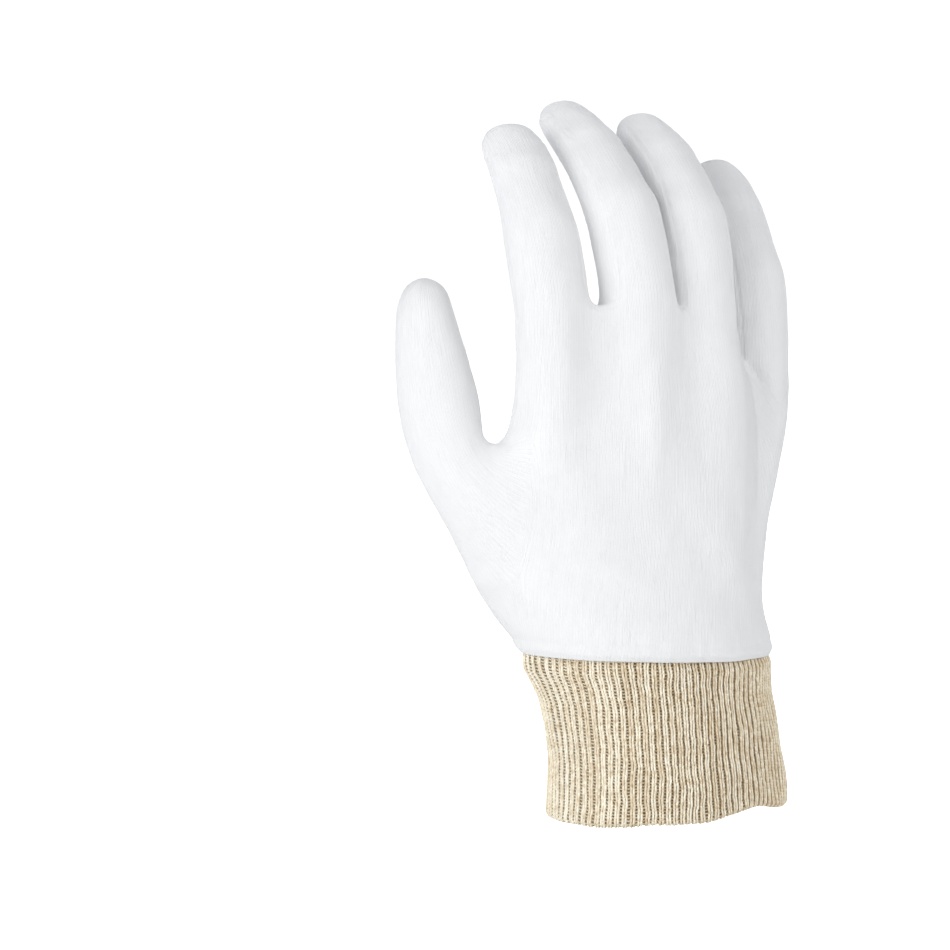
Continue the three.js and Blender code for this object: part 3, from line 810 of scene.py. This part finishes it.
def length_setting(name, description, default):
    """A size that the user may change."""
    return FloatProperty(name=name, description=description, default=default, unit="LENGTH")


def colour_setting(name, description, default):
    """A colour that the user may change."""
    return FloatVectorProperty(
        name=name, description=description, default=default, subtype="COLOR", size=3, min=0, max=1
    )


class GLOVE_PG_white(bpy.types.PropertyGroup):
    """Sizes and colour of the white cloth."""

    wall: length_setting("Wall", "Thickness of the white cloth", 0.0012)
    wale: length_setting("Wale", "Width of one column of stitches", 0.0011)
    course: length_setting("Course", "Height of one row of stitches", 0.0009)
    stitch_depth: length_setting("Stitch depth", "How far the stitches stand up", 0.0003)
    seam_depth: length_setting("Seam depth", "Depth of the groove at a seam", 0.0002)
    seam_ridge: length_setting("Seam ridge", "Height of the ridge beside a seam", 0.00012)
    hem_height: length_setting("Hem height", "Height of the rolled hem", 0.003)
    hem_roll: length_setting("Hem roll", "How far the hem stands out", 0.0004)
    smooth_level: IntProperty(
        name="Smoothing", description="Steps of subdivision of the outer cloth", default=4, min=1, max=4
    )
    colour: colour_setting("Colour", "Colour of the white cloth", (0.82, 0.82, 0.822))


class GLOVE_PG_cuff(bpy.types.PropertyGroup):
    """Sizes and colours of the rib-knit cuff."""

    ribs: IntProperty(name="Ribs", description="Number of ribs round the cuff", default=96, min=8)
    course: length_setting("Course", "Height of one row of stitches", 0.00104)
    yarn: length_setting("Yarn", "Radius of the yarn in a rib", 0.00043)
    wander: length_setting("Wander", "How far the ribs stray sideways", 0.00032)
    colour: colour_setting("Colour", "Colour of the yarn", (0.94, 0.88, 0.73))
    fleck_and_shade_colour: colour_setting("Fleck colour", "Colour of the darker fibres", (0.6, 0.45, 0.26))


class GLOVE_PG_stage(bpy.types.PropertyGroup):
    """Light and floor of the studio."""

    floor_drop: length_setting("Floor drop", "How far the floor lies under the cuff", 0.03)
    key: FloatProperty(name="Key light", description="Power of the key light", default=12.0, unit="POWER")
    fill: FloatProperty(name="Fill light", description="Power of the fill light", default=8.2, unit="POWER")
    surround: FloatProperty(name="Surround", description="Strength of light from all round", default=0.5)


class GLOVE_OT_white_cloth(bpy.types.Operator):
    """Build the white panels, strips and thumb piece"""

    bl_idname = "glove.white_cloth"
    bl_label = "White cloth"

    def execute(self, context):
        settings = context.scene.glove_white
        material = white_knit(settings)
        points, faces, panels, chart = worn_cloth(settings)
        normals = point_normals(points, faces)
        inner, inner_faces, inner_panels, inner_chart = smoothed(2)
        inner_normals = point_normals(inner, inner_faces)
        inner = drawn_up(inner - inner_normals * settings.wall / MM)
        for number, node in enumerate(PANELS):
            used, outer_corners = np.unique(faces[panels == number], return_inverse=True)
            inside, inner_corners = np.unique(inner_faces[inner_panels == number], return_inverse=True)
            outer_corners = outer_corners.reshape(-1, 4)
            inner_corners = inner_corners.reshape(-1, 4)[:, ::-1] + len(used)
            mesh = make_mesh(
                node + "_cloth",
                np.vstack([points[used], inner[inside]]),
                np.vstack([outer_corners, inner_corners]),
                np.vstack([chart[panels == number], inner_chart[inner_panels == number][:, ::-1]]),
                np.vstack([normals[used], -inner_normals[inside]]),
            )
            piece(node + "_cloth", mesh, material, "white_knit", node)
        self.hem(settings, material, points, faces)
        return {"FINISHED"}

    def hem(self, settings, material, points, faces):
        """The turned lower edge: the open edge carried round half a circle of the wall's thickness,
        then a little way up the inside."""
        ring = points[edge_points(faces)]
        ring = ring[np.argsort(turn_at(ring))]
        ahead = unit(np.roll(ring, -1, 0) - np.roll(ring, 1, 0))
        outward = unit(np.cross(ahead, [0, 0, 1.0]))
        radius = settings.wall / MM / 2
        bend = np.linspace(0, np.pi, 7)
        inward = np.concatenate([radius * (1 - np.cos(bend)), [2 * radius, 2 * radius]])
        down = np.concatenate([radius * np.sin(bend), [-2.0, -6.0]])
        grid = ring - outward * inward[:, None, None] - np.array([0, 0, 1.0]) * down[:, None, None]
        rows, columns = grid.shape[:2]
        numbers = np.arange(rows * columns).reshape(rows, columns)
        length = np.concatenate([[0], np.cumsum(np.linalg.norm(np.diff(ring, axis=0), axis=1))])
        across = np.broadcast_to(length, (rows, columns))
        chart = chart_faces(across, np.roll(across, -1, 1), -down[:, None])
        faces = round_faces(numbers)[:, :, ::-1].reshape(-1, 4)
        mesh = make_mesh("hem_edge", grid.reshape(-1, 3), faces, chart[:, :, ::-1].reshape(-1, 4, 2))
        piece("hem_edge", mesh, material, "white_knit")


# Where the cuff's lower edge is drawn up: turn and half width in degrees, and height in millimetres
EDGE_LIFTS = table("turn wide height", [(-163, 20, 1.9), (-72, 24, 2.9), (62, 26, 1.6), (128, 18, 0.9)])


def edge_lift(turn):
    """How far the cuff's lower edge is drawn up at those angles: the sum of one fading swell for each
    row, by the angle to its middle the short way round."""
    away = (turn[..., None] - np.radians(EDGE_LIFTS["turn"]) + np.pi) % (2 * np.pi) - np.pi
    return (EDGE_LIFTS["height"] * fade(away / np.radians(EDGE_LIFTS["wide"]))).sum(-1)


def cuff_surface(turn, path, lift):
    """A point of the cuff in millimetres. Turn is the angle round it, path the way up its outer face
    from the lower edge, and lift the way out of that face. Under the edge the path goes round half a
    circle as wide as the wall, and then up the inner face. The face is an oval whose half axes change
    with the height, and whose middle leans over to the hem with the square of the height."""
    turn, path, lift = np.broadcast_arrays(turn, path, lift)
    radius = CUFF_WALL / 2
    round_edge = np.pi * radius
    bend = np.clip(-path / radius, 0, np.pi)
    climb = np.where(path > 0, path, np.maximum(-path - round_edge, 0))
    edge = radius + CUFF_SLOPE * np.cos(turn) + CUFF_WAVE * np.sin(CUFF_WAVES * turn) + edge_lift(turn)
    rise = climb / CUFF_HEIGHT
    width = np.interp(rise, CUFF_SECTIONS["rise"], CUFF_SECTIONS["width"]) * CUFF_WIDTH / 2
    depth = np.interp(rise, CUFF_SECTIONS["rise"], CUFF_SECTIONS["depth"]) * CUFF_DEPTH / 2
    across = radius * (1 - np.cos(bend))
    normal = unit(np.stack([np.cos(turn) / width, np.sin(turn) / depth, np.zeros_like(width)], -1))
    lean = np.minimum(rise, 1) ** 2
    x = HEM_OUT * lean + (width - 0.5) * np.cos(turn)
    y = HEM_FORWARD * lean + (depth - 0.5) * np.sin(turn)
    z = climb + edge * np.maximum(0, 1 - rise) - radius * np.sin(bend)
    outward = normal * np.cos(bend)[..., None] - np.array([0, 0, 1.0]) * np.sin(bend)[..., None]
    return np.stack([x, y, z], -1) - normal * across[..., None] + outward * lift[..., None], outward


def tubes(lines, outward, radius):
    """Round tubes along many lines at once: each ring is the line's point plus the radius times the
    cosine and the sine of the turn along two directions square to the line. The first and the last
    ring of each are closed."""
    along = unit(np.gradient(lines, axis=-2))
    beside = unit(np.cross(along, outward))
    turn = np.linspace(0, 2 * np.pi, YARN_SIDES, endpoint=False)[:, None]
    spread = np.cos(turn) * beside[..., None, :] + np.sin(turn) * np.cross(beside, along)[..., None, :]
    rings = lines[..., None, :] + spread * radius[..., None, None]
    grid = np.arange(rings[..., 0].size).reshape(-1, lines.shape[-2], YARN_SIDES)
    after = np.roll(grid, -1, 2)
    faces = np.stack([grid[:, 1:], after[:, 1:], after[:, :-1], grid[:, :-1]], -1)
    ends = np.concatenate([grid[:, 0], grid[:, -1, ::-1]])
    return rings.reshape(-1, 3), faces.reshape(-1, 4), ends


def evenly(shares):
    """The angles at which those shares of the way round the cuff's oval lie: the sum of its steps of a
    quarter of a degree gives the length of its arc."""
    turn = np.linspace(-np.pi, 3 * np.pi, 2881)
    speed = np.hypot(CUFF_WIDTH * np.sin(turn), CUFF_DEPTH * np.cos(turn))
    length = np.concatenate([[0], np.cumsum((speed[1:] + speed[:-1]) / 2)])
    length = (length - np.interp(0, turn, length)) / length[-1] * 2
    return np.interp(shares, length, turn)


class GLOVE_OT_cuff(bpy.types.Operator):
    """Build the rib-knit cuff from its yarn"""

    bl_idname = "glove.cuff"
    bl_label = "Rib-knit cuff"

    def execute(self, context):
        settings = context.scene.glove_cuff
        self.ground(settings)
        self.ribs(settings)
        return {"FINISHED"}

    def stray(self, settings, turn, path):
        """How far a rib strays sideways, as an angle, and how far the cloth stands out there: slow
        uneven fields over the angle and the height, and a shift that keeps the ribs upright where the
        cuff leans."""
        turn, path = np.broadcast_arrays(turn, path)
        place = np.stack([FIELD_RADIUS * np.cos(turn), FIELD_RADIUS * np.sin(turn), path], -1)
        fields = uneven(place, [9, 13, 17, 23], 7) + 0.6 * uneven(place, [4, 5, 6, 3.4], 9)
        lean = 1.6 * HEM_OUT * np.sin(turn) / (0.6 + np.sin(turn) ** 2)
        upright = lean * np.clip(path / CUFF_HEIGHT, 0, 1) ** 2
        outward = 0.7 * uneven(place, [14, 19, 27, 33, 11, 23], 11)
        return (settings.wander / MM * fields + upright) / STRAY_RADIUS, outward

    def stretch_and_shade(self, turn):
        """How open the grooves are at those angles: from none at the thumb's side, where the cuff is
        slack, to one at the other side, where it is stretched. The yarn's tones also use it as painted
        shade, browner away from the thumb's side, where less of the key light falls."""
        return 0.5 + 0.5 * np.cos(turn + np.radians(40))

    def ground(self, settings):
        """The ground between the ribs, dark with painted shade, and the plain inner face, as one
        closed wall.
        """
        columns = 2 * settings.ribs
        turn = evenly(np.arange(columns) / columns)
        round_edge = np.pi * CUFF_WALL / 2
        inner_path = np.linspace(-round_edge - CUFF_HEIGHT - INNER_TUCK, -round_edge, 30)
        outer_path = np.linspace(-round_edge, CUFF_HEIGHT + GROUND_TUCK, 40)
        path = np.concatenate([inner_path, outer_path[1:]])
        outer = np.clip((path + round_edge) / round_edge, 0, 1)[:, None]
        _, stand = self.stray(settings, turn, path[:, None])

        # Sunk between the ribs outside, more where the cuff is stretched, and lightly ribbed inside
        rib = np.cos(np.arange(columns) * np.pi)
        lift = stand - outer * (0.3 + 0.35 * self.stretch_and_shade(turn)) + 0.15 * rib * (1 - outer) - 0.1
        grid, _ = cuff_surface(turn, path[:, None], lift)
        numbers = np.arange(grid[..., 0].size).reshape(grid.shape[:-1])
        closed = np.concatenate([numbers, numbers[:1]])
        mesh = make_mesh("cuff_ground", grid.reshape(-1, 3), round_faces(closed).reshape(-1, 4))
        # Painted shade: browner on the outer face, where the ground lies sunk between the ribs, and more so
        # away from the thumb's side, where less of the key light falls
        self.set_tones(mesh, (0.15 + outer) * (0.6 + 0.4 * self.stretch_and_shade(turn)))
        # The ground's material is the rib yarn made darker by 0.08 as painted shade
        piece("cuff_ground", mesh, rib_yarn(settings, "Rib ground in painted shade", 0.08), "beige_rib_knit", "knit_cuff")

    def set_tones(self, mesh, tones):
        """Keeps how brown the yarn is at each point, which holds painted shade and for the ribs and
        bars also a random tone, for its material.
        """
        values = tones.astype(np.float32).ravel()
        mesh.attributes.new("tone", "FLOAT", "POINT").data.foreach_set("value", values)

    def ribs(self, settings):
        """Ribs of two cords of slanted stitch legs, and the bars of yarn that lie in the grooves. A leg
        runs up and outward from the rib's middle, arched over the leg above it."""
        random = np.random.default_rng(21)
        yarn = rib_yarn(settings, "Rib yarn", 0.0)
        count, course, thick = settings.ribs, settings.course / MM, settings.yarn / MM
        start = -(np.pi * CUFF_WALL / 2 + 2.5)
        rows = int((CUFF_HEIGHT + RIB_TUCK - start) / course)
        rib = np.arange(count)[:, None, None, None]
        row = np.arange(rows)[:, None, None]
        side = np.array([-1.0, 1.0])[:, None]
        way = np.linspace(0, 1, 4)
        middle = rib + random.uniform(-0.07, 0.07, count)[:, None, None, None]
        centre = evenly(middle / count)

        # A leg ends 1.45 rows above its start, and the two cords' legs are a quarter of a row apart
        path = start + (row + way * 1.45 + 0.12 * side) * course
        strayed, stand = self.stray(settings, centre, path)
        # How open the grooves are here; it also sets how deep the legs' painted shade is
        open_and_shaded = self.stretch_and_shade(centre)
        spread = side * (0.35 - 0.05 * open_and_shaded + (0.28 - 0.09 * open_and_shaded) * way) / RIB_RADIUS
        jitter = random.normal(0, 0.035, (count, rows, 2, 1))
        arch = 0.4 * np.sin(np.pi * (0.08 + 0.84 * way)) + 0.06 - 0.16 * way + 0.05 * jitter
        turn = centre + strayed + spread + jitter / STRAY_RADIUS
        lines, outward = cuff_surface(turn, path, stand + arch)
        radius = thick * (0.8 + 0.25 * np.sin(np.pi * way)) * (1 + jitter)

        # Painted shade: browner toward the groove's side and the underside of each leg, and more so away
        # from the thumb's side, where less of the key light falls; the rest is a random tone for each
        # stitch and each rib
        tone = 0.18 * random.normal(size=(count, rows, 2)) + 0.14 * random.normal(size=(count, 1, 1))
        bend = np.linspace(0, 2 * np.pi, YARN_SIDES, endpoint=False)
        groove_shade = np.clip(side * np.cos(bend) * 0.7 - np.sin(bend) * 0.35, 0, 1)
        groove_shade = np.broadcast_to(groove_shade[:, None], (2, way.size, YARN_SIDES))
        open_and_shaded = open_and_shaded[..., None]
        tone = tone[..., None, None] + 0.08 + 0.22 * open_and_shaded + groove_shade * (0.3 + 0.9 * open_and_shaded)

        # A bar's ends are a quarter of a row above its middle, and it lies deeper where the cuff is
        # stretched and higher by the cuff's edge
        across = np.linspace(-0.5, 0.5, 3)
        bar_turn = evenly((rib[:, :, 0] + 0.5) / count) + across * 1.3 / RIB_RADIUS
        bar_path = start + (np.arange(rows)[:, None] + 0.15 + 0.25 * (2 * np.abs(across)) ** 2) * course
        bar_path = bar_path + random.normal(0, 0.05, (count, rows, 1))
        bar_stray, bar_stand = self.stray(settings, bar_turn, bar_path)
        sunk = 0.47 * self.stretch_and_shade(bar_turn) - 0.2 - 0.15 * fade(bar_path / 3)
        bars, bar_outward = cuff_surface(bar_turn + bar_stray, bar_path, bar_stand - sunk)
        quarter = count // 4
        for number in range(4):
            part = slice(number * quarter, (number + 1) * quarter)
            points, faces, ends = tubes(lines[part], outward[part], radius[part])
            mesh = make_mesh(f"cuff_ribs_{number + 1}", points, faces, ends=ends)
            self.set_tones(mesh, tone[part])
            piece(f"cuff_ribs_{number + 1}", mesh, yarn, "beige_rib_knit", "knit_cuff")
        points, faces, ends = tubes(bars, bar_outward, np.full(bars.shape[:-1], thick * 0.56))
        mesh = make_mesh("cuff_bars", points, faces, ends=ends)
        # Painted shade: the bars in the grooves are browner away from the thumb's side, where less of the
        # key light falls, plus a random tone of their own
        bar_tone_and_shade = 0.7 * self.stretch_and_shade(bar_turn[:, :, 1]) + 0.2 * random.normal(size=(count, rows))
        self.set_tones(mesh, np.repeat(bar_tone_and_shade.ravel(), across.size * YARN_SIDES))
        piece("cuff_bars", mesh, yarn, "beige_rib_knit", "knit_cuff")


class GLOVE_OT_stage(bpy.types.Operator):
    """Add the camera, the floor and the soft studio light"""

    bl_idname = "glove.stage"
    bl_label = "Studio"

    def execute(self, context):
        settings = context.scene.glove_stage
        self.camera(context)
        self.floor(settings)
        self.light("Key light", settings.key, 1.0, (-72, 16), 1.4)
        self.light("Front light", settings.fill, 1.0, (26, 26), 1.5, (1, 0.985, 0.965))
        self.light("Far light", settings.fill, 1.2, (145, 20), 1.5)
        self.surround(context, settings)
        context.scene.view_settings.view_transform = "Standard"
        return {"FINISHED"}

    def surround(self, context, settings):
        """A white surround for the camera, whose light on the glove is softer and a little blue."""
        world = bpy.data.worlds.new("Studio")
        context.scene.world = world
        world.use_nodes = True
        wiring = Wiring(world.node_tree)
        seen = wiring.node("ShaderNodeLightPath").outputs["Is Camera Ray"]
        background = world.node_tree.nodes["Background"]
        lit = wiring.mix(seen, (0.91, 0.95, 1, 1), (1, 1, 1, 1))
        wiring.join(lit, background.inputs["Color"])
        rest = wiring.math("MULTIPLY", seen, 1.1 - settings.surround)
        wiring.join(wiring.math("ADD", rest, settings.surround), background.inputs["Strength"])

    def looking(self, holder, azimuth, elevation, distance, target):
        """Places a camera or light round the target and turns it to face it."""
        turn, lift = np.radians([azimuth, elevation])
        back = Vector((np.sin(turn) * np.cos(lift), -np.cos(turn) * np.cos(lift), np.sin(lift)))
        holder.location = Vector(target) + back * distance
        holder.rotation_mode = "QUATERNION"
        holder.rotation_quaternion = (-back).to_track_quat("-Z", "Y")

    def camera(self, context):
        """A long lens level with the palm, turned so that the thumb side comes forward."""
        data = bpy.data.cameras.new("Camera")
        data.sensor_width = SENSOR_WIDTH
        data.lens = SENSOR_WIDTH * PIXELS_PER_METRE / PICTURE_WIDTH
        data.clip_start, data.clip_end = 0.05, 30
        camera = bpy.data.objects.new("Camera", data)
        context.scene.collection.objects.link(camera)
        self.looking(camera, -23, 4, 1.0, CAMERA_TARGET)
        context.scene.camera = camera

    def light(self, name, power, size, direction, distance, colour=(1, 1, 1)):
        """A square soft light that faces the glove."""
        data = bpy.data.lights.new(name, "AREA")
        data.energy = power
        data.color = colour
        data.size = size
        light = bpy.data.objects.new(name, data)
        bpy.context.scene.collection.objects.link(light)
        self.looking(light, *direction, distance, LIGHT_TARGET)

    def floor(self, settings):
        """A wide pale floor under the cuff."""
        half = 6000.0
        low = (cad_bounds[0].z - settings.floor_drop) / MM
        corners = np.array([[-half, -half, low], [half, -half, low], [half, half, low], [-half, half, low]])
        mesh = make_mesh("Floor", corners, np.array([[0, 1, 2, 3]]))
        material = bpy.data.materials.new("Pale floor")
        material.use_nodes = True
        shader = material.node_tree.nodes["Principled BSDF"]
        shader.inputs["Base Color"].default_value = (0.95, 0.95, 0.95, 1)
        shader.inputs["Roughness"].default_value = 0.9
        shader.inputs["Emission Color"].default_value = (1, 1, 1, 1)
        wiring = Wiring(material.node_tree)
        seen = wiring.node("ShaderNodeLightPath").outputs["Is Camera Ray"]
        wiring.join(seen, shader.inputs["Emission Strength"])
        mesh.materials.append(material)
        floor = bpy.data.objects.new("Floor", mesh)
        bpy.context.scene.collection.objects.link(floor)


class GLOVE_PT_panel(bpy.types.Panel):
    """The glove's settings and its build steps"""

    bl_idname = "GLOVE_PT_panel"
    bl_label = "Cotton work glove"
    bl_space_type = "VIEW_3D"
    bl_region_type = "UI"
    bl_category = "Glove"

    def draw(self, context):
        for name, _, operator in GROUPS:
            box = self.layout.box()
            settings = getattr(context.scene, name)
            for setting in settings.__annotations__:
                box.prop(settings, setting)
            box.operator(operator.bl_idname)


GROUPS = (
    ("glove_white", GLOVE_PG_white, GLOVE_OT_white_cloth),
    ("glove_cuff", GLOVE_PG_cuff, GLOVE_OT_cuff),
    ("glove_stage", GLOVE_PG_stage, GLOVE_OT_stage),
)
CLASSES = [made for _, *pair in GROUPS for made in pair] + [GLOVE_PT_panel]


def register():
    for made in CLASSES:
        bpy.utils.register_class(made)
    for name, group, _ in GROUPS:
        setattr(bpy.types.Scene, name, PointerProperty(type=group))


def unregister():
    for name, _, _ in GROUPS:
        delattr(bpy.types.Scene, name)
    for made in reversed(CLASSES):
        bpy.utils.unregister_class(made)


def main():
    register()
    bpy.ops.glove.stage()
    bpy.ops.glove.white_cloth()
    bpy.ops.glove.cuff()


if __name__ == "__main__":
    main()
